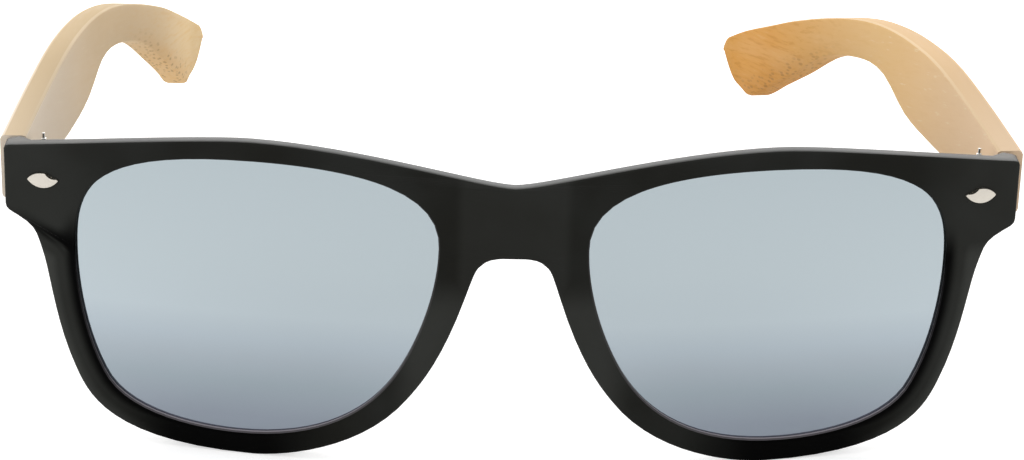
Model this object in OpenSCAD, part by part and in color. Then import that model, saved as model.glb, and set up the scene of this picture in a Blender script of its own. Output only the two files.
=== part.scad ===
// Sunglasses with a moulded front, mirror lenses and wooden temples.
// X to the wearer's left as seen from the front (viewer's right), Y back along the temples, Z up.
// The front stands upright with the bottom of the rims at Z = 0; all sizes are in millimetres.

/* [Lenses and their windows] */
// Width of one lens window
lens_w = 52; // [46:0.1:58]
// Height of one lens window
lens_h = 42.1; // [36:0.1:46]
// Distance between the two windows, over the nose
lens_gap = 21.2; // [18:0.2:25]
// Thickness of a lens
lens_t = 1.7; // [1.2:0.1:2.2]
// Radius of the front's wrap round the face
wrap_radius = 220; // [160:5:400]

/* [Front frame] */
// Rim width above a lens
rim_top = 2.8; // [2.2:0.1:5]
// Rim width below a lens
rim_bottom = 3.5; // [2.6:0.1:5]
// Rim width at the outer side
rim_outer = 5; // [3.2:0.1:6]
// Rim width at the nose
rim_nose = 3.8; // [2.6:0.1:4.5]
// Thickness of the rims, front to back
rim_t = 3.3; // [3.2:0.1:5]
// How far each corner stands out past the rim
corner_reach = 5.2; // [4.5:0.1:8]
// Height of the corner blocks
corner_h = 10.8; // [9.6:0.1:13]
// Thickness of the corner block at its outer end
corner_t = 3.2; // [2.6:0.1:4.5]
// Drop from the crest of the brow to the top of a corner
brow_drop = 4.4; // [2:0.1:7]
// Drop from the crest of the brow to the top of the bridge
bridge_dip = 5.1; // [2:0.1:9]
// Height of the bridge
bridge_h = 10.6; // [7:0.1:14]
// Radius of the rounded rear edges
rear_round = 1.3; // [0.6:0.1:1.5]
// Small bevel along the front edges
front_bevel = 0.2; // [0.1:0.05:0.5]
// How far the moulded nose pads stand back
pad_h = 2.4; // [1:0.1:4]

/* [Lens groove] */
// Lip in front of the lens
lip_t = 0.6; // [0.5:0.1:1.2]
// Depth of the groove
groove_d = 0.85; // [0.5:0.05:1.1]
// Gap between a lens and the groove's sides
groove_gap = 0.05; // [0.03:0.01:0.1]
// Gap between a lens and the groove's floor
lens_float = 0.1; // [0.05:0.05:0.3]

/* [Corner studs] */
// Length of a stud
stud_w = 4.8; // [3:0.1:6]
// Height of a stud
stud_h = 2.2; // [1.4:0.1:3.2]
// How far a stud stands proud at its middle
stud_rise = 0.5; // [0.3:0.05:1]
// Height of a stud above the middle of the corner block
stud_up = 0.9; // [-2:0.1:2]
// Depth of the seat that a stud lies in
stud_seat = 0.15; // [0.1:0.05:0.3]
// Distance from a stud's middle to the outer end of the front
stud_inset = 5.8; // [4:0.1:9]
// How far a stud's outer end tips down, in degrees
stud_tilt = 3.5; // [-10:0.5:10]
// Radius of a stud's posts
post_r = 0.45; // [0.3:0.05:0.7]
// Length of a stud's posts
post_l = 2.2; // [1.2:0.1:3]

/* [Temples] */
// Thickness of the wood
temple_t = 3.9; // [3:0.1:5]
// Length of a temple from its front end to its tip
temple_l = 139.5; // [120:0.5:155]
// Height of a temple at its front end
temple_h = 9.7; // [8:0.1:12]
// Height of the narrow neck over the ear
neck_h = 6.7; // [5.5:0.1:9]
// Height of the paddle at the tip
tip_h = 13.2; // [10:0.1:16]
// How far the ear bend drops below the straight part
tip_drop = 31.2; // [20:0.1:40]
// How far a tip comes in towards the head
tip_in = 14.6; // [4:0.1:25]
// Slope of the cut across the tip, in degrees
tip_slope = 47; // [40:1:70]
// Rounding of the tip's lower corner
tip_low_round = 4; // [1:0.5:7]
// Rounding of the tip's upper corner
tip_top_round = 2; // [1:0.1:4]
// Rounding along the edges of the wood
wood_round = 0.6; // [0.2:0.1:1.2]
// How far a temple stands out past the end of the front
temple_over = 0.9; // [0:0.1:1.5]
// Gap between a temple's front end and the corner block
stop_gap = 0.3; // [0.3:0.05:0.6]
// How far the right temple stands folded in, in degrees
right_fold = 5; // [0:0.1:80]

/* [Hinges] */
// Height of the knuckle stack
hinge_h = 7.4; // [6:0.1:8]
// Radius of the knuckles
knuckle_r = 1.4; // [1.2:0.05:1.7]
// Radius of the hinge screw's shank
screw_r = 0.7; // [0.5:0.05:0.9]
// Running gap round the shank in the temple's knuckle
screw_gap = 0.05; // [0.02:0.01:0.1]
// Gap between neighbouring knuckles
knuckle_gap = 0.3; // [0.3:0.05:0.5]
// Height of the hinges above the middle of the corner block
hinge_up = -0.1; // [-0.5:0.1:1]
// Thickness of the hinge leaves
leaf_t = 0.9; // [0.6:0.05:1.2]
// Length of the leaf on the corner block
front_leaf_l = 5.6; // [4.8:0.1:6]
// Height of the tongue let into the temple
tongue_h = 4; // [3.6:0.1:6]
// Length of the tongue
tongue_l = 9.5; // [7:0.5:14]
// Wood left between the tongue and the temple's inner face
tongue_in = 0.7; // [0.5:0.05:1.3]
// Gap round the tongue in its slot
tongue_gap = 0.05; // [0.02:0.01:0.1]
// How far the knuckles stand off the leaf
hinge_off = 0.8; // [0.3:0.05:1.5]
// Radius of the shanks of the leaf's rivets
pin_r = 0.55; // [0.4:0.05:0.7]
// Radius of their heads
pin_head_r = 0.95; // [0.8:0.05:1.2]
// Height of their heads
pin_head_h = 0.35; // [0.2:0.05:0.6]
// Depth that they reach into the plastic
pin_l = 2; // [1.2:0.1:2.4]
// Radius of the hinge screw's head
screw_head_r = 1.05; // [0.9:0.05:1.6]
// Height of the hinge screw's head
screw_head_h = 0.6; // [0.4:0.05:1]
// Width of the slot in the hinge screw's head
slot_w = 0.4; // [0.3:0.05:0.6]
// Radius of the screw's turned end above the top knuckle
screw_end_r = 0.42; // [0.3:0.02:0.6]
// Height of that end
screw_end_h = 0.9; // [0.3:0.1:1.2]
// Radius of the point on it
screw_point_r = 0.22; // [0.15:0.01:0.28]
// Height of the point
screw_point_h = 0.8; // [0.2:0.1:1.2]

/* [Hidden] */
$fn = 48;
eye_in = lens_gap / 2;
eye_out = eye_in + lens_w;
sill = rim_bottom;
brow = sill + lens_h + rim_top;
half_w = eye_out + rim_outer + corner_reach;
corner_top = brow - brow_drop;
corner_low = corner_top - corner_h;
bridge_top = brow - bridge_dip;
bridge_low = bridge_top - bridge_h;
corner_back = wrap(half_w) + corner_t;

temple_out = half_w + temple_over;
temple_in = temple_out - temple_t;
temple_front = corner_back + stop_gap;
hinge_z = (corner_top + corner_low) / 2 + hinge_up;
seat_y = wrap(temple_in - 0.2) + rim_t;
pin_x = temple_in - knuckle_r - 0.7;
pin_y = seat_y + leaf_t + knuckle_r + hinge_off;
stack_low = hinge_z - hinge_h / 2;
stack_top = hinge_z + hinge_h / 2;
mid_h = (hinge_h - 2 * knuckle_gap) / 3;
tongue_x = temple_in + tongue_in;

// The middle of the whole object along Y is the origin.
depth_all = temple_front + temple_l;
y_shift = -depth_all / 2;

// How far the front's surface has swept back at a distance x from the middle.
function wrap(x) = wrap_radius - sqrt(wrap_radius * wrap_radius - x * x);

// A value that eases from 0 to 1 as t goes from a to b.
function ease(t, a, b) = let (u = min(1, max(0, (t - a) / (b - a)))) u * u * (3 - 2 * u);

// The point and the heading at t on the curve between two anchors.
// An anchor is [x, z, heading, pull before, pull after].
function pull(a, r) = [a[0], a[1]] + r * [cos(a[2]), sin(a[2])];
function curve(a, b, t) =
    let (p = [a[0], a[1]], q = pull(a, a[4]), r = pull(b, -b[3]), s = [b[0], b[1]], u = 1 - t)
    u * u * u * p + 3 * u * u * t * q + 3 * u * t * t * r + t * t * t * s;
function slope(a, b, t) =
    let (p = [a[0], a[1]], q = pull(a, a[4]), r = pull(b, -b[3]), s = [b[0], b[1]], u = 1 - t)
    3 * u * u * (q - p) + 6 * u * t * (r - q) + 3 * t * t * (s - r);
// The unit vector to the right of a heading: into the plastic from an outline walked clockwise.
function right_of(v) = [v[1], -v[0]] / norm(v);

// The lens window, clockwise from the nose side as seen from the front.
window = [
    [eye_in, sill + 0.733 * lens_h, 90, 0.191 * lens_h, 0.221 * lens_h],
    [eye_in + 0.502 * lens_w, sill + lens_h, 0, 0.233 * lens_w, 0.475 * lens_w],
    [eye_out, sill + 0.615 * lens_h, -90, 0.193 * lens_h, 0.102 * lens_h],
    [eye_out - 0.079 * lens_w, sill + 0.165 * lens_h, -117.9, 0.174 * lens_h, 0.158 * lens_h],
    [eye_in + 0.548 * lens_w, sill, 180, 0.112 * lens_w, 0.242 * lens_w],
    [eye_in + 0.104 * lens_w, sill + 0.273 * lens_h, 120.4, 0.176 * lens_h, 0.1 * lens_h]
];

// Right half of the front's outline, clockwise from the top of the bridge.
// Each row ends with the place on the window that it faces and the steps to the next row.
rim_x = eye_out + rim_outer;
outline = [
    [0, bridge_top, 0, 0, 4.3, 0.45, 16],
    [eye_in + 0.506 * lens_w, brow, 0, 0.305 * lens_w, 0.169 * lens_w, 1, 14],
    [half_w - 0.8, corner_top + 0.05, -9, 5, 0.35, 1.72, 3],
    [half_w - 0.05, corner_top - 0.6, -90, 0.35, 1.5, 1.79, 3],
    [half_w, corner_low + 1.8, -90, 1.5, 0.9, 1.93, 4],
    [half_w - 1.75, corner_low + 0.2, -154, 1.2, 3.1, 1.98, 5],
    [rim_x, sill + 0.602 * lens_h, -108, 2.4, 3.9, 2.2, 9],
    [rim_x - 0.089 * lens_w, sill + 0.166 * lens_h, -113.3, 7.8, 4.6, 2.97, 14],
    [eye_in + 0.512 * lens_w, 0, 180, 0.407 * lens_w, 0.073 * lens_w, 4.05, 14],
    [eye_in - rim_nose + 0.15 * lens_w, sill + 0.168 * lens_h, 126.5, 0.215 * lens_w, 2.2, 4.92, 9],
    [eye_in - rim_nose, sill + 0.544 * lens_h, 107.8, 0.259 * lens_h, 5.6, 5.5, 6],
    [4, bridge_low - 0.6, 136.8, 1.8, 0.6, 5.84, 3],
    [1.7, bridge_low, 180, 0.3, 0.4, 5.92, 2],
    [0, bridge_low, 180, 0.4, 0, 6.05, 5]
];

function window_at(v) = let (i = floor(v) % 6) curve(window[i], window[(i + 1) % 6], v - floor(v));
function window_dir(v) = let (i = floor(v) % 6) slope(window[i], window[(i + 1) % 6], v - floor(v));

// One stop along the rim: [outline point, its inward side, window point, its outward side, at the middle].
last = len(outline) - 1;
stops = concat(
    [for (i = [0 : last - 1], k = [0 : outline[i][6] - 1])
        let (a = outline[i], b = outline[i + 1], t = k / a[6], v = a[5] + (b[5] - a[5]) * t)
        [curve(a, b, t), right_of(slope(a, b, t)), window_at(v), -right_of(window_dir(v)), 0, v]],
    [for (k = [0 : outline[last][6] - 1])
        let (t = k / outline[last][6], v = outline[last][5] + 0.4 * t)
        [[0, bridge_low], [0, 1], window_at(v), -right_of(window_dir(v)), t, v]]);

// Rear face of the front: even rims, with a deeper shoulder at each end for the temple to stop on.
function shoulder(x) = ease(x, temple_in - 0.4, temple_in - 0.1);
function rear(x, z) = let (r = wrap(x) + rim_t) r + (corner_back - r) * shoulder(x);
function pad_share(v) = ease(v, 4.5, 5.0) * (1 - ease(v, 5.45, 5.85));

// The cross-section of the rim at one stop, sixteen points from the window round the outside.
function at(p, y) = [p[0], y, p[1]];
function deep(p, d) = at(p, wrap(p[0]) + d);
function across(p, q, x) = p + (q - p) * (x - p[0]) / (q[0] - p[0]);
function section(s) =
    let (o = s[0], n = s[1], i = s[2], m = s[3], mid = s[4],
         share = shoulder(o[0]),
         r = rear_round * (1 - share) + 0.4 * share,
         pad = pad_h * pad_share(s[5]),
         span = bridge_h - front_bevel * 2,
         span_r = bridge_h - rear_round * 2,
         of = mid == 0 ? o + front_bevel * n : [0, bridge_low + front_bevel + span * mid],
         ob = mid == 0 ? o + r * n : [0, bridge_low + rear_round + span_r * mid],
         w = norm(ob - i),
         g = (ob - i) / w,
         a = i + 0.5 * m,
         b = a + g * min(1.1, 0.35 * (w - 0.5)),
         step = ob[0] > temple_in,
         c = step ? across(b, ob, temple_in - 0.4) : b + (ob - b) / 3,
         d = step ? across(b, ob, temple_in - 0.1) : b + (ob - b) * 2 / 3)
    [deep(i, front_bevel),
     deep(i + front_bevel * m, 0),
     deep(of, 0),
     deep(o, front_bevel),
     at(o, rear(o[0], o[1]) - r + pad),
     at(o + 0.29 * r * n, rear(o[0], o[1]) - 0.29 * r + pad),
     at(ob, rear(ob[0], ob[1]) + pad),
     at(d, rear(d[0], d[1]) + 0.75 * pad),
     at(c, rear(c[0], c[1]) + 0.4 * pad),
     at(b, rear(b[0], b[1]) + 0.1 * pad),
     at(a, rear(a[0], a[1])),
     at(i, rear(i[0], i[1]) - 0.4),
     deep(i, lip_t + lens_t + 2 * groove_gap),
     deep(i + groove_d * m, lip_t + lens_t + 2 * groove_gap),
     deep(i + groove_d * m, lip_t),
     deep(i, lip_t)];

// One closed skin over both halves: the wall strips are left out along the middle, where they meet.
module front_shell() {
    n = len(stops);
    q = 16;
    half = [for (s = stops) each section(s)];
    both = concat(half, [for (p = half) [-p[0], p[1], p[2]]]);
    first_mid = n - outline[last][6];
    quads = [for (i = [0 : n - 1], j = [0 : q - 1])
        if (i < first_mid || j < 2 || j > 5) [i * q + j, i * q + (j + 1) % q,
            ((i + 1) % n) * q + (j + 1) % q, ((i + 1) % n) * q + j]];
    flip = [for (f = quads) [f[3] + n * q, f[2] + n * q, f[1] + n * q, f[0] + n * q]];
    faces = [for (f = concat(quads, flip)) each [[f[0], f[1], f[2]], [f[0], f[2], f[3]]]];
    polyhedron(points = both, faces = faces, convexity = 8);
}

module front_frame() {
    color([0.09, 0.09, 0.09])
    translate([0, y_shift, 0])
    difference() {
        union() {
            front_shell();
            for (s = [-1, 1]) side(s) hinge_seat();
        }
        for (s = [-1, 1]) stud_place(s) stud_cut();
        for (s = [-1, 1]) side(s) rivets(pin_r);
    }
}

// Flat pad behind a corner, inside the shoulder, that the hinge's leaf lies on.
// It is a wedge that grows out of the rear face only.
module hinge_seat() {
    x0 = pin_x + 1.2 - front_leaf_l - 0.3;
    x1 = temple_in - 0.2;
    inside = rim_t - 0.6;
    translate([0, 0, stack_low - 0.2])
        linear_extrude(height = hinge_h + 0.4)
        polygon([[x0, wrap(x0) + inside], [x1, wrap(x1) + inside], [x1, seat_y], [x0, seat_y]]);
}

// Mirrors what is drawn for the right side over to the left.
module side(s) {
    if (s > 0) children();
    else mirror([1, 0, 0]) children();
}

// A lens: a curved sheet cut to the window's outline, let out into the groove.
module lens(s) {
    rim = [for (k = [0 : 119])
        let (v = k / 20, m = -right_of(window_dir(v)))
        window_at(v) + (groove_d - lens_float) * m];
    color([0.72, 0.76, 0.79])
    translate([0, y_shift, 0])
    side(s)
    difference() {
        intersection() {
            translate([0, wrap_radius, 0]) rotate([90, 0, 0]) translate([0, 0, 0])
                linear_extrude(height = wrap_radius) polygon(rim);
            translate([0, wrap_radius + lip_t + groove_gap, -5])
                cylinder(r = wrap_radius, h = brow + 10, $fn = 360);
        }
        translate([0, wrap_radius + lip_t + groove_gap + lens_t, -6])
            cylinder(r = wrap_radius, h = brow + 12, $fn = 360);
    }
}

// Puts what is drawn on the XZ plane, facing -Y, on the front's surface at the stud.
stud_x = half_w - stud_inset;
stud_z = (corner_top + corner_low) / 2 + stud_up;
module stud_place(s) {
    side(s)
        translate([stud_x, wrap(stud_x) + stud_seat, stud_z])
        rotate([0, 0, asin(stud_x / wrap_radius)])
        rotate([90, stud_tilt, 0])
        children();
}

// Almond outline: two arcs of the same radius, one from each side.
module almond(extra, rise) {
    w = stud_w / 2 + extra;
    h = stud_h / 2 + extra;
    r = (w * w + h * h) / (2 * h);
    intersection() {
        translate([0, h - r, 0]) cylinder(r = r, h = rise, $fn = 96);
        translate([0, r - h, 0]) cylinder(r = r, h = rise, $fn = 96);
    }
}

module stud_posts(r, l) {
    for (e = [-1, 1]) translate([e * stud_w * 0.22, 0, -l]) cylinder(r = r, h = l + 0.1);
}

module stud_cut() {
    almond(0.05, 3);
    stud_posts(post_r + 0.02, post_l + 0.1);
}

module front_stud(s) {
    top = stud_seat + stud_rise;
    ball = 9;
    color([0.86, 0.85, 0.84])
    translate([0, y_shift, 0])
    stud_place(s) {
        intersection() {
            almond(0, top);
            translate([0, 0, top - ball]) sphere(r = ball, $fn = 96);
        }
        stud_posts(post_r, post_l);
    }
}

// Rivets that hold the leaf on the corner block: drawn for the right side.
rivet_x = pin_x - knuckle_r - 2.2;
module rivets(r) {
    for (e = [-1, 1])
        translate([rivet_x, seat_y - pin_l, hinge_z + e * hinge_h / 4])
        rotate([-90, 0, 0])
        cylinder(r = r, h = pin_l + leaf_t, $fn = 32);
}

module front_hinge(s) {
    x1 = pin_x + 1.2;
    color([0.75, 0.75, 0.76])
    translate([0, y_shift, 0])
    side(s)
    difference() {
        union() {
            translate([x1 - front_leaf_l, seat_y, stack_low]) cube([front_leaf_l, leaf_t, hinge_h]);
            for (z = [stack_low, stack_top - mid_h]) {
                translate([pin_x, pin_y, z]) cylinder(r = knuckle_r, h = mid_h);
                translate([pin_x - knuckle_r, seat_y, z]) cube([knuckle_r * 1.5, pin_y - seat_y, mid_h]);
            }
        }
        translate([pin_x, pin_y, stack_low - 1]) cylinder(r = screw_r, h = hinge_h + 2);
        rivets(pin_r);
    }
}

module front_hinge_rivets(s) {
    color([0.7, 0.7, 0.72])
    translate([0, y_shift, 0])
    side(s) {
        rivets(pin_r);
        for (e = [-1, 1])
            translate([rivet_x, seat_y + leaf_t, hinge_z + e * hinge_h / 4])
            rotate([-90, 0, 0])
            cylinder(r1 = pin_head_r, r2 = pin_head_r * 0.7, h = pin_head_h, $fn = 32);
    }
}

module hinge_screw(s) {
    color([0.8, 0.8, 0.81])
    translate([0, y_shift, 0])
    side(s)
    translate([pin_x, pin_y, 0])
    difference() {
        union() {
            translate([0, 0, stack_low - screw_head_h]) cylinder(r = screw_head_r, h = screw_head_h);
            translate([0, 0, stack_low - 0.1]) cylinder(r = screw_r, h = hinge_h + 0.1);
            translate([0, 0, stack_top - 0.1]) cylinder(r = screw_end_r, h = screw_end_h + 0.1);
            translate([0, 0, stack_top]) cylinder(r = screw_point_r, h = screw_end_h + screw_point_h);
        }
        translate([-slot_w / 2, -2, stack_low - screw_head_h - 1]) cube([slot_w, 4, 1 + screw_head_h * 0.6]);
    }
}

// Everything below moves with a temple. It is drawn fully open, for the right side, and then
// the right one is turned about its screw to where it stands.
module on_temple(s) {
    translate([0, y_shift, 0])
    side(s)
    translate([pin_x, pin_y, 0])
    rotate([0, 0, s > 0 ? right_fold : 0])
    translate([-pin_x, -pin_y, 0])
    children();
}

// A smooth curve through rows of [distance, value, value, ...].
function spline(rows, s) =
    let (n = len(rows) - 1,
         i = max([for (k = [0 : n - 1]) rows[k][0] <= s ? k : 0]),
         p = rows[max(0, i - 1)], a = rows[i], b = rows[i + 1], q = rows[min(n, i + 2)],
         h = b[0] - a[0],
         t = min(1, (s - a[0]) / h),
         ma = (b - p) * h / max(0.001, b[0] - p[0]),
         mb = (q - a) * h / max(0.001, q[0] - a[0]))
    (2 * t * t * t - 3 * t * t + 1) * a + (t * t * t - 2 * t * t + t) * ma
        + (3 * t * t - 2 * t * t * t) * b + (t * t * t - t * t) * mb;

// Side view and plan of a temple: [distance back, top edge, bottom edge, inner face].
straight_top = corner_top + 0.1;
tip_top = straight_top - tip_drop;
temple_low = straight_top - temple_h;
temple_rows = [
    [0, straight_top, temple_low, temple_in],
    [12, straight_top + 2.5, temple_low + 1, temple_in - 0.12 * tip_in],
    [25, straight_top + 4.3, temple_low + 1, temple_in - 0.24 * tip_in],
    [38, straight_top + 3.5, temple_low + 1, temple_in - 0.315 * tip_in],
    [50, straight_top + 1.8, straight_top - neck_h + 0.7, temple_in - 0.4 * tip_in],
    [62, straight_top - 1, straight_top - neck_h - 1, temple_in - 0.505 * tip_in],
    [75, straight_top - 5.2, straight_top - neck_h - 5.5, temple_in - 0.67 * tip_in],
    [90, straight_top - 10.8, straight_top - neck_h - 14.1, temple_in - 0.825 * tip_in],
    [105, straight_top - 16.7, straight_top - neck_h - 21.6, temple_in - 0.865 * tip_in],
    [temple_l - 17, tip_top + 7.7, tip_top - tip_h + 7.6, temple_in - 0.875 * tip_in],
    [temple_l - 8, tip_top + 4, tip_top - tip_h + 5.8, temple_in - 0.9 * tip_in],
    [temple_l, tip_top, tip_top - tip_h + 3.3, temple_in - tip_in]
];

// Where the cut across the tip runs, and how far its upper corner is rounded off.
function tip_cut(d) = tip_top - tip_top_round - 0.9 + (d - temple_l) * tan(tip_slope);
function corner_off(d) =
    let (u = max(0, (d - temple_l) / tip_top_round + 1)) tip_top_round * (1 - sqrt(max(0, 1 - u * u)));
function blend(a, b, k) = (a + b + sqrt((a - b) * (a - b) + k * k)) / 2;

module temple(s) {
    steps = 52;
    sections = [for (k = [0 : steps])
        let (d = temple_l * (1 - pow(1 - k / steps, 1.5)), r = spline(temple_rows, d), y = temple_front + d,
             x0 = r[3], x1 = r[3] + temple_t, z0 = blend(r[2], tip_cut(d), tip_low_round),
             z1 = r[1] - corner_off(d), c = min(wood_round, (z1 - z0) / 3), e = 0.3 * c)
        [[x0 + c, y, z0], [x1 - c, y, z0], [x1 - e, y, z0 + e], [x1, y, z0 + c],
         [x1, y, z1 - c], [x1 - e, y, z1 - e], [x1 - c, y, z1], [x0 + c, y, z1],
         [x0 + e, y, z1 - e], [x0, y, z1 - c], [x0, y, z0 + c], [x0 + e, y, z0 + e]]];
    q = 12;
    faces = concat(
        [[for (j = [0 : q - 1]) q - 1 - j]],
        [[for (j = [0 : q - 1]) steps * q + j]],
        [for (k = [0 : steps - 1], j = [0 : q - 1]) each [
            [(k + 1) * q + (j + 1) % q, (k + 1) * q + j, k * q + j],
            [k * q + (j + 1) % q, (k + 1) * q + (j + 1) % q, k * q + j]]]);
    color([0.85, 0.72, 0.52])
    on_temple(s)
    difference() {
        polyhedron(points = [for (t = sections) each t], faces = faces, convexity = 6);
        hinge_tongue(tongue_gap, 1);
    }
}

// The part of a hinge inside the wood: a tongue, and the web that reaches it from the knuckle.
// With extra it draws the slot for them, open at the temple's front end.
module hinge_tongue(extra, open) {
    y0 = temple_front + 0.5;
    web_h = mid_h + 2 * extra;
    translate([tongue_x - extra, y0 - open, hinge_z - tongue_h / 2 - extra])
        cube([leaf_t + 2 * extra, tongue_l + open + extra, tongue_h + 2 * extra]);
    translate([pin_x + knuckle_r * 0.5, pin_y - extra - open * 3, hinge_z - web_h / 2])
        cube([tongue_x + 0.2 - pin_x - knuckle_r * 0.5, knuckle_r + 2 * extra + open * 3, web_h]);
}

module temple_hinge(s) {
    color([0.75, 0.75, 0.76])
    on_temple(s)
    difference() {
        union() {
            hinge_tongue(0, 0);
            translate([pin_x, pin_y, hinge_z - mid_h / 2]) cylinder(r = knuckle_r, h = mid_h);
        }
        translate([pin_x, pin_y, hinge_z - mid_h]) cylinder(r = screw_r + screw_gap, h = 2 * mid_h);
    }
}

front_frame();
lens(-1);  // lens_left
lens(1);  // lens_right
front_stud(-1);  // front_stud_left
front_stud(1);  // front_stud_right
front_hinge(-1);  // front_hinge_left
front_hinge(1);  // front_hinge_right
front_hinge_rivets(-1);  // front_hinge_rivets_left
front_hinge_rivets(1);  // front_hinge_rivets_right
hinge_screw(-1);  // hinge_screw_left
hinge_screw(1);  // hinge_screw_right
temple_hinge(-1);  // temple_hinge_left
temple_hinge(1);  // temple_hinge_right
temple(-1);  // temple_left
temple(1);  // temple_right
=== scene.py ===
# %% [markdown]
# # Sunglasses with a moulded front and bamboo temples
# We dress a CAD model of a pair of sunglasses. The CAD gives every piece its size, its place and its joint,
# so the first step only loads it. Everything here is in metres: X runs across the face, Y runs back along
# the temples (the side arms) and Z is up. The rims stand on Z = 0.

# %% Load the frame
import math
import bpy
from mathutils import Matrix, Vector
from mathutils.kdtree import KDTree


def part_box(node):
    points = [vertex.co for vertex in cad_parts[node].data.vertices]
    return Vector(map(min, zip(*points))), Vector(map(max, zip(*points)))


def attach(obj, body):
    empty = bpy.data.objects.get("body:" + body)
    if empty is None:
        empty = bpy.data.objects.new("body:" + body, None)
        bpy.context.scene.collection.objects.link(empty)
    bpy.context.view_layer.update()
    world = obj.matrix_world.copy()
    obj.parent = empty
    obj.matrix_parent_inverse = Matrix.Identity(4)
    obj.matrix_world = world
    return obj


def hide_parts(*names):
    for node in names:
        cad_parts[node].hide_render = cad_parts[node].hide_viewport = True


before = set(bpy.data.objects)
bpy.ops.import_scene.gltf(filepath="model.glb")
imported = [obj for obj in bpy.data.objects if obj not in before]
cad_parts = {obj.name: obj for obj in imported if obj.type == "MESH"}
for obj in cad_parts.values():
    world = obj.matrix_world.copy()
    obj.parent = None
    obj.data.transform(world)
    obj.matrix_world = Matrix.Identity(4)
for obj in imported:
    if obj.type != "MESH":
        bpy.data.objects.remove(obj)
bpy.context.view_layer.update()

# %% [markdown]
# ## The wrap of the front
# A front isn't flat. Seen from above it follows a circle, so that it wraps round the face and its ends stand
# further back than its middle. The lenses, the studs and the gloss of the plastic all depend on how far back
# the surface is at a place. A circle gives that exactly, so we work it out once.

# %% How far back the front goes
MM = 0.001
WRAP = 220 * MM
front_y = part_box("front_frame")[0].y


def sag(x):
    """How far the wrapped front has gone back at a distance x from the middle."""
    return WRAP - math.sqrt(WRAP * WRAP - x * x)


print("the front goes back", round(sag(70 * MM) / MM, 1), "mm at 70 mm from its middle")

# %% [markdown]
# ## The camera
# A product photograph like ours is taken from a little way off with a long lens, so that the rims keep their
# true shape. We look down on the front by about 23 degrees. The lens is given by its focal length on a
# 36 mm wide sensor. The camera was turned by a small roll as well, which is why the right end stands lower.

# %% Camera
VIEW_DOWN = math.radians(22.72)
VIEW_TURN = math.radians(-1.69)
VIEW_ROLL = math.radians(1.56)
FOCAL = 109.27
SENSOR = 36.0
eye = Vector((-12.23 * MM, front_y - 401.49 * MM, 205.45 * MM))

ahead = Vector((-math.sin(VIEW_TURN) * math.cos(VIEW_DOWN),
                math.cos(VIEW_TURN) * math.cos(VIEW_DOWN), -math.sin(VIEW_DOWN)))
level = Vector((math.cos(VIEW_TURN), math.sin(VIEW_TURN), 0.0))
over = level.cross(ahead)
across = math.cos(VIEW_ROLL) * level + math.sin(VIEW_ROLL) * over
upward = across.cross(ahead)
turn = Matrix((across, upward, -ahead)).transposed()

shot = bpy.data.cameras.new("product_camera")
shot.lens = FOCAL
shot.sensor_width = SENSOR
camera = bpy.data.objects.new("product_camera", shot)
camera.matrix_world = Matrix.Translation(eye) @ turn.to_4x4()
bpy.context.scene.collection.objects.link(camera)
bpy.context.scene.camera = camera
bpy.context.scene.view_settings.view_transform = "Standard"
print("camera at", [round(v, 4) for v in eye])

# %% [markdown]
# ## Helpers for materials
# A material is a small graph of nodes. Adding a node, setting it and wiring it are always the same three
# moves, so one function does them for every kind of node. Colours are written as the hex codes that a paint
# program shows, and the shader wants them linear, so a second function turns one into the other. Settings
# that come again and again get a short name.

# %% Helpers for materials
SMOOTH = {"interpolation_type": "SMOOTHSTEP"}
TIMES = {"operation": "MULTIPLY"}
LARGER = {"operation": "MAXIMUM"}
COLOURS = {"data_type": "RGBA"}
COLOUR_A, COLOUR_B = 6, 7  # the places of the two colour sockets on a Mix node


def linear(code):
    channels = [int(code[i:i + 2], 16) / 255 for i in (1, 3, 5)]
    return [c / 12.92 if c <= 0.04045 else ((c + 0.055) / 1.055) ** 2.4 for c in channels] + [1.0]


def put(tree, kind, sockets=(), **settings):
    """Adds one node. Its kind is Blender's own name without ShaderNode, and its sockets come by name or in
    their order. Each gets a value or a link, and another node stands for its own first output."""
    made = tree.nodes.new("ShaderNode" + kind)
    for name, value in settings.items():
        setattr(made, name, value)
    named = sockets if isinstance(sockets, dict) else dict(enumerate(sockets))
    for name, value in named.items():
        if isinstance(value, bpy.types.Node):
            value = next(output for output in value.outputs if output.enabled)
        if isinstance(value, bpy.types.NodeSocket):
            tree.links.new(value, made.inputs[name])
        else:
            made.inputs[name].default_value = value
    return made


def new_material(name):
    made = bpy.data.materials.new(name)
    made.use_nodes = True
    made.node_tree.nodes.clear()
    return made, made.node_tree


print("mid grey #808080 is", round(linear("#808080")[0], 3), "in linear light")

# %% [markdown]
# ## Zones with soft borders
# Handling, polishing and sanding change a surface in some places, and never along a sharp line. A painter
# would mask such a place and fade the mask out. We do the same with numbers: a soft step runs from one value
# to another between two places, and a zone is where all its steps hold, which is their product.

# %% A zone
def zone(tree, *steps):
    """The share that a look has at a point. A step is (value, start, end, low, high): it runs softly from
    low to high, which are 0 and 1 if they are left out."""
    shares = [put(tree, "MapRange", step, **SMOOTH) for step in steps]
    share = shares[0]
    for other in shares[1:]:
        share = put(tree, "Math", (share, other), **TIMES)
    return share


print("a quarter of the way along, a soft step has reached", 3 * 0.25 ** 2 - 2 * 0.25 ** 3)

# %% [markdown]
# ## The matte black moulding
# The front is injection-moulded nylon with a fine spark-eroded grain. The grain scatters light, so there is no
# sharp reflection, only a slow change from near black to dark grey. One flat grey would look like a toy.
# The real one has soft patches about 15 mm wide, where handling has polished it, and a noise texture of that
# size gives them, first in the colour and later in the gloss.

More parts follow.
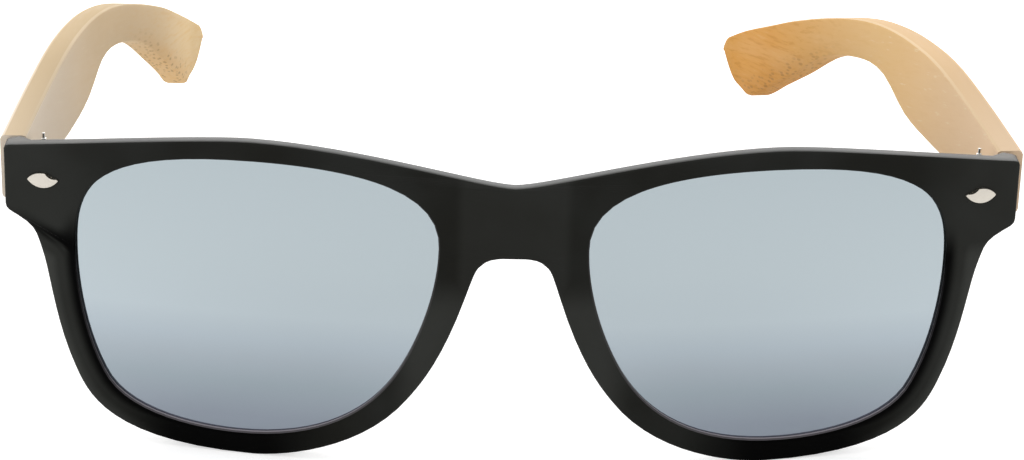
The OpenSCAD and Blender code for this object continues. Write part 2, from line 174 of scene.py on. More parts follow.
# %% The face of the plastic
black, tree = new_material("moulded_matte_nylon")
place = put(tree, "TexCoord").outputs["Object"]
where = put(tree, "SeparateXYZ", {"Vector": place}).outputs
patches = put(tree, "TexNoise", {"Vector": place, "Scale": 1 / (15 * MM), "Detail": 2.0, "Roughness": 0.5})
ground = put(tree, "Mix", {"Factor": zone(tree, (patches, 0.3, 0.75)), COLOUR_A: linear("#242421"),
                           COLOUR_B: linear("#2e2f2d")}, **COLOURS)
print("made", black.name)

# %% [markdown]
# ## Painted light on the plastic
# Four places get painted light: a paler colour stands in for the light that they would catch. They are the middle
# of the bridge, the slopes beside the nose, the outer lower part of the rims, and the corners. Each is a zone
# across and up the front. One of them also needs the distance to the lens window, which we store on the
# mesh later under the name from_window.

# %% Painted light on the plastic
aside = put(tree, "Math", (where["X"],), operation="ABSOLUTE")
from_window = put(tree, "Attribute", attribute_name="from_window").outputs["Fac"]
# insert is painted light on the middle of the bridge, lighter as if it faced the lamps more
insert = zone(tree, (aside, 6.8 * MM, 8.6 * MM, 0.2, 0.0))
beside_nose = zone(tree, (aside, 13 * MM, 18 * MM, 0.5, 0.0), (where["Z"], 24 * MM, 30 * MM, 1.0, 0.0))
outer_rim = zone(tree, (from_window, 1.8 * MM, 4 * MM), (aside, 48 * MM, 56 * MM, 0.0, 0.8),
                 (where["Z"], 29 * MM, 34 * MM, 1.0, 0.0))
corner = zone(tree, (aside, 56 * MM, 68 * MM, 0.0, 0.25))
painted_light_zones = (insert, beside_nose, outer_rim, corner)
pale = painted_light_zones[0]
for other in painted_light_zones[1:]:
    pale = put(tree, "Math", (pale, other), **LARGER)
print("pale zones:", len(painted_light_zones))

# %% [markdown]
# ## Painted shade, and a painted highlight on the wall round the lens
# Next to the lens, on the outer and lower side, the face of the rim gets painted shade, darkest close to the
# window, and the lowest part of the rims gets painted shade that deepens towards the floor. The wall round the
# lens is the opposite: it gets a painted highlight where it faces up, and its share is stored as a mark on the
# mesh. The three are laid over the face like coats of paint, the wall last.

# %% Painted shade and the painted highlight on the wall round the lens
# Painted shade: beside the window on the outer side, and over the lowest part of the rims
outward = zone(tree, (aside, 22 * MM, 36 * MM))
window_painted_shade = zone(tree, (from_window, 0.3 * MM, 2 * MM, 1.0, 0.0), (where["Z"], 30 * MM, 36 * MM, 1.0, 0.0))
low_rim_painted_shade = zone(tree, (where["Z"], 3 * MM, 12 * MM, 0.95, 0.0), (aside, 48 * MM, 58 * MM, 1.0, 0.2))
darkest = put(tree, "Math", (window_painted_shade, low_rim_painted_shade), **LARGER)
painted_shade = put(tree, "Math", (outward, darkest), **TIMES)
lip_highlight = put(tree, "Attribute", attribute_name="lip_highlight").outputs["Fac"]
# Coats of painted light, painted shade and the painted highlight on the wall
coats = ((pale, "#474845"), (painted_shade, "#030303"), (lip_highlight, "#a59fa5"))
colour = ground
for share, code in coats:
    colour = put(tree, "Mix", {"Factor": share, COLOUR_A: colour, COLOUR_B: linear(code)}, **COLOURS)
print("coats over the ground colour:", len(coats))

# %% [markdown]
# ## Gloss and grain of the plastic
# The edges are smoother than the face, because they were tumbled. Behind the front surface the gloss grows
# over less than 3 mm, which is what draws the soft grey band along the top. How far a point lies behind that
# surface comes from its X and Y: close to its lowest point a circle is nearly a parabola, and that takes two
# nodes. The grain of a mould is finer than a tenth of a millimetre. Here it is drawn 0.15 mm wide, because
# finer grain wouldn't show, and a bump gives it without any geometry.

# %% Gloss and grain of the plastic
bend = put(tree, "Math", (where["X"], where["X"]), **TIMES)
back_from_front = put(tree, "Math", (where["Y"], front_y), operation="SUBTRACT")
behind = put(tree, "Math", (bend, -1 / (2 * WRAP), back_from_front), operation="MULTIPLY_ADD")
gloss = put(tree, "MapRange", (behind, 0.4 * MM, 2.8 * MM, 0.02, 0.5))
grain = put(tree, "TexNoise", {"Vector": place, "Scale": 1 / (0.15 * MM), "Detail": 1.0})
bump = put(tree, "Bump", {"Height": grain, "Strength": 0.25, "Distance": 0.02 * MM})
rough = put(tree, "MapRange", (patches, 0.0, 1.0, 0.36, 0.48), **SMOOTH)
skin = put(tree, "BsdfPrincipled", {
    "Base Color": colour, "Roughness": rough, "IOR": 1.5, "Specular IOR Level": gloss, "Normal": bump})
put(tree, "OutputMaterial", {"Surface": skin})
print(black.name, "has", len(tree.nodes), "nodes")

# %% [markdown]
# ## The mirror film
# A mirror lens is a sheet of dark polycarbonate with a metal film on its outer face. The film is evaporated
# on, and it is cool silver. A colour ramp over the height of the front darkens it towards the bottom, which is
# painted shade: it stands in for the object's shadow on the floor, which the lower part of the lens mirrors. A
# metal has no colour but its reflection, so the ramp goes to the base colour.

# %% Mirror film
# The lower stops are painted shade, and the upper ones are the silver of the film
FILM_TINT_AND_PAINTED_SHADE = ((0.13, "#99a1ac"), (0.25, "#a0abb3"), (0.33, "#a9b3bb"), (0.40, "#b1bcc4"),
                (0.49, "#bac5cb"), (0.66, "#b9c4c9"), (1.0, "#b4bfc4"))
FILM_TOP = 45 * MM

film, tree = new_material("vacuum_coated_mirror_film")
place = put(tree, "TexCoord").outputs["Object"]
height = put(tree, "SeparateXYZ", {"Vector": place}).outputs["Z"]
tint = put(tree, "ValToRGB", {"Fac": put(tree, "MapRange", (height, 0.0, FILM_TOP))})
while len(tint.color_ramp.elements) < len(FILM_TINT_AND_PAINTED_SHADE):
    tint.color_ramp.elements.new(0.5)
for stop, (at, code) in zip(tint.color_ramp.elements, FILM_TINT_AND_PAINTED_SHADE):
    stop.position = at
    stop.color = linear(code)
haze = put(tree, "TexNoise", {"Vector": place, "Scale": 1 / (20 * MM), "Detail": 3.0})
rough = put(tree, "MapRange", {"Value": haze, "To Min": 0.07, "To Max": 0.11})
mirror = put(tree, "BsdfPrincipled", {"Base Color": tint, "Metallic": 1.0, "Roughness": rough})
put(tree, "OutputMaterial", {"Surface": mirror})
print("made", film.name)

# %% [markdown]
# ## The smoked plastic
# From behind, and on its edge, a lens shows its own plastic: polycarbonate dyed nearly black. It is glossy and
# a little cloudy, so a ramp between two dark greys follows a noise of 30 mm. Which face of the lens gets film
# and which gets plastic is settled when the lens is modelled.

# %% Smoked plastic
smoke, tree = new_material("smoked_polycarbonate")
place = put(tree, "TexCoord").outputs["Object"]
cloud = put(tree, "TexNoise", {"Vector": place, "Scale": 1 / (30 * MM), "Detail": 2.0})
tint = put(tree, "ValToRGB", {"Fac": cloud})
tint.color_ramp.elements[0].color = linear("#1d1e20")
tint.color_ramp.elements[1].color = linear("#292a2c")
body = put(tree, "BsdfPrincipled", {"Base Color": tint, "Roughness": 0.06, "IOR": 1.58})
put(tree, "OutputMaterial", {"Surface": body})
print("made", smoke.name)

# %% [markdown]
# ## The fibres of the bamboo
# The temples are sawn from laminated bamboo. Bamboo is a bundle of fibres that all run one way. Here they run
# back and fall by 15 degrees, because the strip was laid that way before the temple was cut from it. Along the
# fibres the wood shows streaks 10 to 25 mm long and half a millimetre wide, and where the saw cut across the
# bundles they show as specks. A pattern that is fine across the fibres and long along them gives both, so it
# is built in space, not painted on. A temple that stands turned needs its pattern turned with it.

# %% Patterns along the fibres
FIBRE_FALL = math.radians(15.0)
FIBRE_PATTERNS = (  # kind, width, length and height in millimetres, and other sockets
    ("TexNoise", 0.6, 16.0, 0.6, {"Detail": 3.0, "Roughness": 0.55}),
    ("TexNoise", 20.0, 90.0, 6.0, {"Detail": 2.0}),
    ("TexVoronoi", 0.7, 4.2, 0.7, {"Randomness": 1.0}))


def fibres(tree, place, angle):
    """Streaks, broad strips and pores, each drawn out along the fibres."""
    along = put(tree, "Mapping", {"Vector": place, "Rotation": (FIBRE_FALL, 0.0, -angle)})
    drawn = []
    for kind, width, length, height, sockets in FIBRE_PATTERNS:
        fine = [1 / (size * MM) for size in (width, length, height)]
        stretched = put(tree, "Mapping", {"Vector": along, "Scale": fine})
        drawn.append(put(tree, kind, {"Vector": stretched, "Scale": 1.0, **sockets}))
    return drawn


print("patterns along the fibres:", len(FIBRE_PATTERNS))

# %% [markdown]
# ## Painted light on the faces of the wood
# The upper face of a temple gets painted shade, a deeper colour, and the edge next to it on the side of the
# head gets a painted highlight, a paler colour. Which face is which can be told by the way it faces, as a face
# that leans further to the side has more X in its normal. That is read on the temple itself and not in the
# world, so that it stays the same when the temple folds.

# %% Painted light by facing
LEAN_FROM, LEAN_TO = 0.2, 0.3


def painted_light_faces(tree, place_x):
    """The shares of the painted highlight on the inner edge and of the painted shade on the upper face."""
    world_normal = put(tree, "NewGeometry").outputs["True Normal"]
    normal = put(tree, "VectorTransform", {"Vector": world_normal},
                 vector_type="NORMAL", convert_from="WORLD", convert_to="OBJECT")
    facing = put(tree, "SeparateXYZ", {"Vector": normal}).outputs
    sideways = put(tree, "Math", (facing["X"],), operation="ABSOLUTE")
    outwards = put(tree, "Math", (facing["X"], place_x), **TIMES)
    edge_highlight = zone(tree, (sideways, LEAN_FROM, LEAN_TO), (sideways, 0.6, 0.7, 1.0, 0.0),
                      (facing["Z"], 0.2, 0.4, 0.0, 0.8), (outwards, -10 * MM, 0.0, 1.0, 0.0))
    upper = zone(tree, (sideways, LEAN_FROM, LEAN_TO, 0.95, 0.0), (facing["Z"], 0.2, 0.4))
    return edge_highlight, upper


print("the upper face leans less than", round(math.degrees(math.asin(LEAN_TO))), "degrees to a side")

# %% [markdown]
# ## The under edge of the wood
# On its way back the temple bends down, and so the saw cut across the fibres along its under edge. Their cut
# ends are brown specks on a more golden wood. The pores of the fibres already lie in the right places, so we
# only have to let them show there. The edge is marked on the mesh, under the name under, when the temples are
# modelled.

# %% Under edge
SPECKS_FROM, SPECKS_FULL, SPECKS_FADE, SPECKS_FEW = 0 * MM, 30 * MM, 58 * MM, 74 * MM


def under_edge(tree, pores, back):
    """The shares of the golden under edge and of the specks on it."""
    under = put(tree, "Attribute", attribute_name="under").outputs["Fac"]
    golden = zone(tree, (under, 0.55, 1.0), (back, SPECKS_FROM, SPECKS_FULL),
                  (back, SPECKS_FADE, SPECKS_FEW, 1.0, 0.2))
    specks = put(tree, "Math", (zone(tree, (pores, 0.2, 0.42, 0.45, 0.0)), golden), **TIMES)
    return golden, specks


print("specks are densest between Y =", round(SPECKS_FULL / MM), "and", round(SPECKS_FADE / MM), "mm")

# %% [markdown]
# ## The bamboo
# The wood is pale near the hinge, with paler flecks between its fibres, and golden at the tip. The pale hinge
# end is partly the wood's own tone and partly painted light: a painted sheen, lightened further to make up for
# the shade that the front casts near the hinge. It was sanded and oiled, so it is almost matte, and its dark
# streaks are a little rougher. We could paint this as a picture, but then the grain would end at the seams of
# the picture. So every change of colour is a coat over the colour of the hinge end, with a zone of its own, and
# the coats are laid in the order in which they cover each other. The last two are the painted shade of the
# upper face and the painted highlight of the inner edge.

# %% Bamboo
def bamboo(name, angle, shades, contrast, golden_from):
    made, tree = new_material(name)
    place = put(tree, "TexCoord").outputs["Object"]
    where = put(tree, "SeparateXYZ", {"Vector": place}).outputs
    back = where["Y"]
    streaks, strips, pores = fibres(tree, place, angle)
    edge_highlight, upper = painted_light_faces(tree, where["X"])
    golden, specks = under_edge(tree, pores, back)

    paints = {part: linear(code) for part, code in shades.items()}
    # The upper face gets painted shade, deeper further back along the temple
    paints["upper"] = put(tree, "Mix", {"Factor": zone(tree, (back, -75 * MM, -30 * MM)),
                                        COLOUR_A: paints["shaded_upper_front"], COLOUR_B: paints["shaded_upper_back"]}, **COLOURS)
    wood = paints["hinge_end_and_sheen"]
    for share, part in (
            (zone(tree, (back, -72 * MM, -10 * MM)), "middle"),
            (zone(tree, (back, golden_from, golden_from + 60 * MM)), "tip"),
            (zone(tree, (strips, 0.4, 0.75, 0.0, 0.12)), "edge"),
            (zone(tree, (streaks, 0.52, 0.66), (back, -10 * MM, 50 * MM, 0.08 * contrast, contrast)), "streak"),
            (zone(tree, (streaks, 0.37, 0.31, 0.0, contrast), (back, -30 * MM, 10 * MM, 0.8, 0.1)), "fleck"),
            (put(tree, "Math", (golden, 0.35), **TIMES), "streak"),
            # painted shade on the upper face, then the painted highlight on the inner edge
            (specks, "speck"), (upper, "upper"), (edge_highlight, "edge")):
        wood = put(tree, "Mix", {"Factor": share, COLOUR_A: wood, COLOUR_B: paints[part]}, **COLOURS)

    relief = put(tree, "Math", (streaks, specks), operation="SUBTRACT")
    bump = put(tree, "Bump", {"Height": relief, "Strength": 0.2, "Distance": 0.04 * MM})
    rough = put(tree, "MapRange", (streaks, 0.3, 0.7, 0.56, 0.68), **SMOOTH)
    body = put(tree, "BsdfPrincipled", {
        "Base Color": wood, "Roughness": rough, "IOR": 1.5, "Specular IOR Level": 0.08, "Normal": bump})
    put(tree, "OutputMaterial", {"Surface": body})
    print("made", made.name, "with", len(tree.nodes), "nodes")
    return made


# %% [markdown]
# ## A strip of wood for each temple
# The two temples were cut from different strips. The left one is paler and hardly streaked, and the right one
# is redder and turns golden sooner. So each brings its own shades, how strongly its streaks stand out, and how
# far back it starts to turn golden. The right temple rests a little folded, and its fibres are turned with it.

# %% Wood of the two temples
RIGHT_TEMPLE_TURN = math.radians(5.0)

# The hinge end colour is partly painted sheen and light, the two upper colours are painted shade, and the edge
# colour also gives the painted highlight on the inner edge
wood_left = bamboo("sanded_bamboo_left", 0.0, {
    "hinge_end_and_sheen": "#fff0dd", "middle": "#dfc49d", "tip": "#eacb98", "streak": "#e0a858", "edge": "#d7c1a0",
    "shaded_upper_front": "#e3cdad", "shaded_upper_back": "#cdb48e", "fleck": "#fdeccd", "speck": "#8a6032"}, 0.15, 4 * MM)
wood_right = bamboo("sanded_bamboo_right", RIGHT_TEMPLE_TURN, {
    "hinge_end_and_sheen": "#f8d9b8", "middle": "#eac186", "tip": "#d39846", "streak": "#bc8237", "edge": "#e6cba6",
    "shaded_upper_front": "#f1d6b6", "shaded_upper_back": "#e0be93", "fleck": "#fdeccd", "speck": "#8a6032"}, 0.4, -14 * MM)

# %% [markdown]
# ## The metals
# The hinges are stamped steel with a nickel plate, rolled and drawn, so they carry faint lines from the
# tools. The screws were turned and are the brightest. The studs on the corners are tumbled until they are
# satin, and a touch warmer. All keep the usual look of a metal: no colour but their reflection. A noise that
# is drawn out one way gives the tool lines. Real ones are finer, and these are as coarse as they need to show.

# %% Plated steel and satin studs
def plated(name, dark, light, rough, line):
    made, tree = new_material(name)
    place = put(tree, "TexCoord").outputs["Object"]
    drawn = put(tree, "Mapping", {"Vector": place, "Scale": (1 / line, 1 / (2 * MM), 1 / (0.4 * MM))})
    lines = put(tree, "TexNoise", {"Vector": drawn, "Scale": 1.0, "Detail": 2.0})
    spread = put(tree, "MapRange", {"Value": lines, "To Min": rough * 0.7, "To Max": rough * 1.4})
    tone = put(tree, "Mix", {"Factor": lines, COLOUR_A: linear(dark), COLOUR_B: linear(light)}, **COLOURS)
    bump = put(tree, "Bump", {"Height": lines, "Strength": 0.15, "Distance": 0.01 * MM})
    body = put(tree, "BsdfPrincipled", {
        "Base Color": tone, "Metallic": 1.0, "Roughness": spread, "Normal": bump})
    put(tree, "OutputMaterial", {"Surface": body})
    return made


hinge_metal = plated("nickel_plated_steel", "#b9b6b0", "#d8d6d2", 0.22, 0.3 * MM)
screw_metal = plated("turned_bright_screw", "#c4c2bd", "#e2e0dc", 0.16, 0.2 * MM)
stud_metal = plated("tumbled_satin_stud", "#d2cbc0", "#ddd7cc", 0.3, 0.6 * MM)
print("made", hinge_metal.name, screw_metal.name, stud_metal.name)

# %% [markdown]
# ## Rounding off what the CAD leaves sharp
# The CAD solids have the right shape, but no real piece has a knife edge. For each one we take a copy, weld
# its loose triangles, turn them back into clean faces and round the sharp edges by a few hundredths of a
# millimetre. That thin round edge catches the light, which tells the eye how big the thing is. An edge of 0
# keeps the CAD's own edges.

# %% A copy with softened edges
WELD = 0.002 * MM
SAME_FACE = math.radians(0.3)
PAIR_UP = math.radians(50)


def only(piece):
    bpy.ops.object.select_all(action="DESELECT")
    piece.select_set(True)
    bpy.context.view_layer.objects.active = piece


def softened(node, name, material, body, edge, sharp=30.0):
    piece = bpy.data.objects.new(name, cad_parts[node].data.copy())
    bpy.context.scene.collection.objects.link(piece)
    only(piece)
    piece.data.materials.clear()
    piece.data.materials.append(material)
    bpy.ops.mesh.customdata_custom_splitnormals_clear()
    bpy.ops.object.mode_set(mode="EDIT")
    bpy.ops.mesh.select_all(action="SELECT")
    bpy.ops.mesh.remove_doubles(threshold=WELD)
    bpy.ops.mesh.dissolve_limited(angle_limit=SAME_FACE)
    bpy.ops.mesh.tris_convert_to_quads(face_threshold=PAIR_UP, shape_threshold=PAIR_UP)
    bpy.ops.object.mode_set(mode="OBJECT")
    if edge > 0:
        bevel = piece.modifiers.new("rounded_edges", "BEVEL")
        bevel.width = edge
        bevel.segments = 2
        bevel.limit_method = "ANGLE"
        bevel.angle_limit = math.radians(sharp)
        bevel.use_clamp_overlap = True
        bpy.ops.object.modifier_apply(modifier=bevel.name)
    bpy.ops.object.shade_smooth_by_angle(angle=math.radians(sharp))
    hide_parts(node)
    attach(piece, body)
    print(name, len(piece.data.polygons), "faces")
    return piece


# %% [markdown]
# ## The small metal pieces
# The studs on the corners are set in for show. Each hinge is a stamped leaf with two rivets and a screw, whose
# slotted head is underneath, so that only its slim turned end is seen over the front. All of them get the
# same softening, with a smaller radius on the smaller pieces.

# %% Studs, hinges, rivets and screws
for side in ("left", "right"):
    softened(f"front_stud_{side}", f"stud_{side}", stud_metal, "front", 0.06 * MM)
    softened(f"front_hinge_{side}", f"hinge_leaf_{side}", hinge_metal, "front", 0.08 * MM)
    softened(f"front_hinge_rivets_{side}", f"rivets_{side}", hinge_metal, "front", 0.05 * MM)
    softened(f"hinge_screw_{side}", f"screw_{side}", screw_metal, "front", 0.06 * MM)
    softened(f"temple_hinge_{side}", f"temple_knuckle_{side}", hinge_metal,
             f"{side}_temple", 0.08 * MM)

# %% [markdown]
# ## The bite in the studs
# On the side of the nose the upper edge of each stud is hollow, as if a small round file had touched it. A
# cylinder that stands square to the front at that place cuts it out. It stops at the floor of the stud's own
# pocket, so the posts behind are left alone.

# %% Bite in the studs
FILE_RADIUS = 1.64 * MM
FILE_LENGTH = 1.2 * MM
FILE_TO_NOSE = 1.95 * MM
FILE_UP = 1.97 * MM
FILE_OUT = 0.59 * MM
POCKET_FLOOR = 0.15 * MM


def bite(side):
    stud = bpy.data.objects[f"stud_{side}"]
    low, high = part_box(f"front_stud_{side}")
    middle = (low + high) / 2
    lean = middle.x / WRAP
    outward = Vector((lean, -math.sqrt(1 - lean * lean), 0.0))
    to_nose = Vector((-outward.y, lean, 0.0)) * math.copysign(1.0, -middle.x)
    floor_point = Vector((middle.x, front_y + sag(middle.x) + POCKET_FLOOR, middle.z))
    place = floor_point + to_nose * FILE_TO_NOSE + Vector((0.0, 0.0, FILE_UP)) + outward * FILE_OUT
    bpy.ops.object.select_all(action="DESELECT")
    bpy.ops.mesh.primitive_cylinder_add(vertices=64, radius=FILE_RADIUS, depth=FILE_LENGTH, location=place,
                                        rotation=outward.to_track_quat("Z", "Y").to_euler())
    round_file = bpy.context.active_object
    only(stud)
    cut = stud.modifiers.new("bite", "BOOLEAN")
    cut.operation = "DIFFERENCE"
    cut.solver = "EXACT"
    cut.object = round_file
    bpy.ops.object.modifier_apply(modifier=cut.name)
    bpy.data.objects.remove(round_file)
    bpy.ops.object.shade_smooth_by_angle(angle=math.radians(30))
    print(stud.name, len(stud.data.polygons), "faces", [round(v / MM, 2) for v in stud.dimensions])


bite("left")
bite("right")

# %% [markdown]
# ## The temples
# Sawn and sanded wood has crisp but broken edges. The CAD has already rounded the long ones, so here nothing
# is added. The specks of the bamboo belong to the side that looks down, so each point of the mesh is marked
# with whether it does, and the material reads the mark.

# %% Temples
for side, wood in (("left", wood_left), ("right", wood_right)):
    temple = softened(f"temple_{side}", f"wood_temple_{side}", wood, f"{side}_temple", 0.0, 40.0)
    under = temple.data.attributes.new("under", "FLOAT", "POINT")
    for vertex in temple.data.vertices:
        under.data[vertex.index].value = 1.0 if vertex.normal.z < 0 else 0.0
    print(temple.name, "marked on", len(under.data), "points")

# %% [markdown]
# ## The front
# The moulding is one skin, and its long edges are already broken by the CAD's small bevel. Its front surface
# comes as a few large faces. A mark that is stored on points fades evenly between them, so across a large
# face it would reach much too far. So we select the front surface, by where it is and how it faces, and
# subdivide it.

# %% Front
LOOKS_FORWARD = -0.9
SURFACE_DEPTH = 0.4 * MM


def depth_of(face):
    """How far a face lies behind the wrapped front surface."""
    return face.center.y - front_y - sag(face.center.x)


moulding = softened("front_frame", "moulded_front", black, "front", 0.0, 38.0)
mesh = moulding.data
only(moulding)
bpy.context.tool_settings.mesh_select_mode = (False, False, True)
bpy.ops.object.mode_set(mode="EDIT")
bpy.ops.mesh.select_all(action="DESELECT")
bpy.ops.object.mode_set(mode="OBJECT")
for face in mesh.polygons:
    face.select = face.normal.y < LOOKS_FORWARD and depth_of(face) < SURFACE_DEPTH
bpy.ops.object.mode_set(mode="EDIT")
bpy.ops.mesh.quads_convert_to_tris()
bpy.ops.mesh.subdivide(number_cuts=3)
bpy.ops.object.mode_set(mode="OBJECT")
print(moulding.name, "split into", len(mesh.polygons), "faces")

# %% [markdown]
# ## The wall round each lens
# The narrow wall of the window looks towards the lens and lies just behind the front surface. That is enough
# to find its faces. Each gets a share of painted highlight, a paler colour that stands in for the light it
# would catch: most where it faces up, a little where it faces outward, and less on the bevel in front of it.

# %% Mark the wall round each lens
WALL_FROM, WALL_TO = 0.04 * MM, 0.72 * MM
WALL_TURN = 0.4
OUTWARD_SHINE, BEVEL_SHINE = 0.3, 0.4

lens_centres = [sum(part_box(f"lens_{side}"), Vector()) / 2 for side in ("left", "right")]
walls = {}
for face in mesh.polygons:
    inward = min((centre - face.center for centre in lens_centres), key=lambda v: v.length)
    if WALL_FROM < depth_of(face) < WALL_TO and face.normal.y < WALL_TURN and inward.dot(face.normal) > 0:
        away = face.normal.x * math.copysign(1.0, face.center.x)
        shine = max(0.0, face.normal.z, OUTWARD_SHINE * away)
        walls[face.index] = shine * (BEVEL_SHINE if face.normal.y <= -WALL_TURN else 1.0)
lip_highlight_mark = mesh.attributes.new("lip_highlight", "FLOAT", "FACE")
for index, share in walls.items():
    lip_highlight_mark.data[index].value = share
print("wall faces:", len(walls), "of", len(mesh.polygons))

# %% [markdown]
# ## The distance from the window
# The painted shade beside the window follows it at a constant distance, and so does the painted light on the
# outer rim. We could draw its outline, but measuring is simpler and fits any window: each point of the
# moulding stores how far it is from the nearest point of the wall. A tree of those points makes the search fast.

# %% Store the distance from the window
marks = {point for index in walls for point in mesh.polygons[index].vertices}
nearest = KDTree(len(marks))
for point in marks:
    nearest.insert(mesh.vertices[point].co, point)
nearest.balance()
distance = mesh.attributes.new("from_window", "FLOAT", "POINT")
for vertex in mesh.vertices:
    distance.data[vertex.index].value = nearest.find(vertex.co)[2]
print("distances measured to", len(marks), "points")

# %% [markdown]
# ## A curved sheet for each lens
# A lens is cut from a curved sheet. We do the same: a fine flat grid is bent to the wrap of the front and
# given its thickness. The fine grid matters because a mirror shows every facet. The sheet is made 2 mm too
# large on every side, so that it can be cut.

# %% Curved sheet
LENS_THICK = 1.7 * MM
OVERSIZE = 4 * MM


def curved_sheet(name, low, high, face_y):
    middle = (low + high) / 2
    bpy.ops.object.select_all(action="DESELECT")
    bpy.ops.mesh.primitive_grid_add(x_subdivisions=72, y_subdivisions=48, size=1.0,
                                    location=(middle.x, 0.0, middle.z), rotation=(math.radians(90), 0.0, 0.0))
    sheet = bpy.context.active_object
    sheet.name = name
    sheet.scale = (high.x - low.x + OVERSIZE, high.z - low.z + OVERSIZE, 1.0)
    bpy.ops.object.transform_apply(location=True, rotation=True, scale=True)
    for point in sheet.data.vertices:
        point.co.y = face_y + sag(point.co.x)
    thick = sheet.modifiers.new("thickness", "SOLIDIFY")
    thick.thickness = LENS_THICK
    thick.offset = -1.0
    bpy.ops.object.modifier_apply(modifier=thick.name)
    bpy.ops.object.mode_set(mode="EDIT")
    bpy.ops.mesh.select_all(action="SELECT")
    bpy.ops.mesh.normals_make_consistent(inside=False)
    bpy.ops.object.mode_set(mode="OBJECT")
    return sheet


print("a lens is", round(LENS_THICK / MM, 1), "mm thick")

# %% [markdown]
# ## Cutting the lenses
# The cutter is the CAD lens, stretched forwards and backwards so that it goes right through the sheet.

# %% Cutter for a lens
CUT_AHEAD, CUT_BEHIND = 5 * MM, 7 * MM


def lens_cutter(node, face_y):
    cutter = bpy.data.objects.new("lens_cutter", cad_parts[node].data.copy())
    bpy.context.scene.collection.objects.link(cutter)
    only(cutter)
    bpy.ops.object.mode_set(mode="EDIT")
    bpy.ops.mesh.select_all(action="SELECT")
    bpy.ops.mesh.remove_doubles(threshold=WELD)
    bpy.ops.object.mode_set(mode="OBJECT")
    for point in cutter.data.vertices:
        rim = face_y + sag(point.co.x)
        point.co.y = rim - CUT_AHEAD if point.co.y < rim + LENS_THICK / 2 else rim + CUT_BEHIND
    return cutter


print("the cutter reaches", round((CUT_AHEAD + CUT_BEHIND) / MM), "mm from front to back")

# %% [markdown]
# ## The lenses
# What the sheet and the cutter have in common is the lens. Its outer face gets the mirror film, and its back
# and its edge get the smoked plastic. The lens then takes the place of the CAD lens and rides on the front.

# %% Lenses
FILM_SIDE = -0.5


def cut_lens(node, name):
    low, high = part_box(node)
    face_y = low.y - sag(min(abs(low.x), abs(high.x)))
    sheet = curved_sheet(name, low, high, face_y)
    cutter = lens_cutter(node, face_y)
    only(sheet)
    trim = sheet.modifiers.new("trim", "BOOLEAN")
    trim.operation = "INTERSECT"
    trim.solver = "EXACT"
    trim.object = cutter
    bpy.ops.object.modifier_apply(modifier=trim.name)
    bpy.data.objects.remove(cutter)

    sheet.data.materials.clear()
    sheet.data.materials.append(film)
    sheet.data.materials.append(smoke)
    for face in sheet.data.polygons:
        face.material_index = 0 if face.normal.y < FILM_SIDE else 1
    bpy.ops.object.shade_smooth_by_angle(angle=math.radians(30))
    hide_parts(node)
    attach(sheet, "front")
    print(name, len(sheet.data.polygons), "faces", [round(v / MM, 2) for v in sheet.dimensions])


cut_lens("lens_left", "mirror_lens_left")
cut_lens("lens_right", "mirror_lens_right")

# %% [markdown]
# ## The floor
# The object stands on a pale paper sweep. A camera sees lit paper as white, and so does a mirror, though more
# weakly. Light Path tells which ray is looking, so the paper can glow for these rays alone. It throws no more
# light on the object, and it keeps the object's shadow.

# %% Floor
SEEN_GLOW, MIRRORED_GLOW = 0.55, 0.25
PAPER_REFLECTS = 0.85

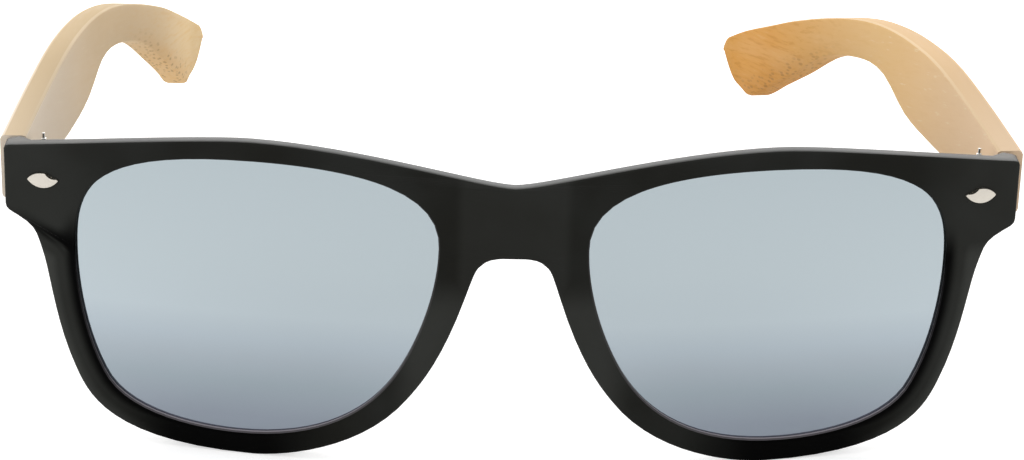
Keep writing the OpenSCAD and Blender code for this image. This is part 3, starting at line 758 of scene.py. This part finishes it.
bpy.ops.object.select_all(action="DESELECT")
bpy.ops.mesh.primitive_plane_add(size=6.0, location=(0.0, 0.0, 0.0))
floor = bpy.context.active_object
floor.name = "studio_floor"
sweep, tree = new_material("white_paper_sweep")
rays = put(tree, "LightPath").outputs
mirrored = put(tree, "Math", (rays["Is Glossy Ray"], rays["Is Transmission Ray"]), **LARGER)
mirrored = put(tree, "Math", (mirrored, MIRRORED_GLOW), **TIMES)
glow = put(tree, "Math", (rays["Is Camera Ray"], SEEN_GLOW, mirrored), operation="MULTIPLY_ADD")
paper = put(tree, "BsdfDiffuse", {"Color": [PAPER_REFLECTS] * 3 + [1.0]})
lift = put(tree, "Emission", {"Color": linear("#ffffff"), "Strength": glow})
put(tree, "OutputMaterial", {"Surface": put(tree, "AddShader", (paper, lift))})
floor.data.materials.append(sweep)
print("made", floor.name)

# %% [markdown]
# ## The background
# Behind the sweep the studio is white to the camera and to anything that mirrors it, and half as bright as a
# source of light. That soft light from everywhere keeps the shadows open.

# %% Background
world = bpy.data.worlds.new("studio_air")
bpy.context.scene.world = world
world.use_nodes = True
air = world.node_tree
air.nodes.clear()
rays = put(air, "LightPath").outputs
seen = put(air, "Math", (rays["Is Camera Ray"], rays["Is Glossy Ray"]), **LARGER)
seen = put(air, "Math", (seen, rays["Is Transmission Ray"]), **LARGER)
dim = put(air, "Background", {"Color": linear("#ffffff"), "Strength": 0.5})
white = put(air, "Background", {"Color": linear("#ffffff"), "Strength": 1.0})
put(air, "OutputWorld", {"Surface": put(air, "MixShader", (seen, dim, white))})
print("made", world.name)

# %% [markdown]
# ## The lamps
# Soft light comes from a box above. Black plastic is shown by what it reflects, so a wide card behind the
# object draws the grey band along the top of the front. A weak lamp in front opens the shadows, and another
# on the left lights the inner side of the right temple. Sizes are in metres and powers in watts.

# %% Lamps
def soft_lamp(name, place, target, size, power):
    light = bpy.data.lights.new(name, "AREA")
    light.shape = "RECTANGLE"
    light.size, light.size_y = size
    light.energy = power
    lamp = bpy.data.objects.new(name, light)
    lamp.location = place
    lamp.rotation_euler = (Vector(target) - Vector(place)).to_track_quat("-Z", "Y").to_euler()
    bpy.context.scene.collection.objects.link(lamp)


soft_lamp("top_softbox", (0.0, 0.1, 0.9), (0.0, 0.0, 0.0), (0.8, 0.8), 2.6)
soft_lamp("back_card", (0.0, 0.72, 0.38), (0.0, -0.06, 0.04), (1.3, 0.5), 4.5)
soft_lamp("front_fill", (-0.4, -0.8, 0.5), (0.0, 0.0, 0.02), (0.6, 0.6), 1.0)
soft_lamp("left_fill", (-0.85, 0.25, 0.3), (0.06, 0.0, 0.03), (0.5, 0.5), 1.3)
print("lamps:", [lamp.name for lamp in bpy.data.lights])

# %% [markdown]
# ## Closing
# The last line brings the scene up to date.

# %% Finish
bpy.context.view_layer.update()
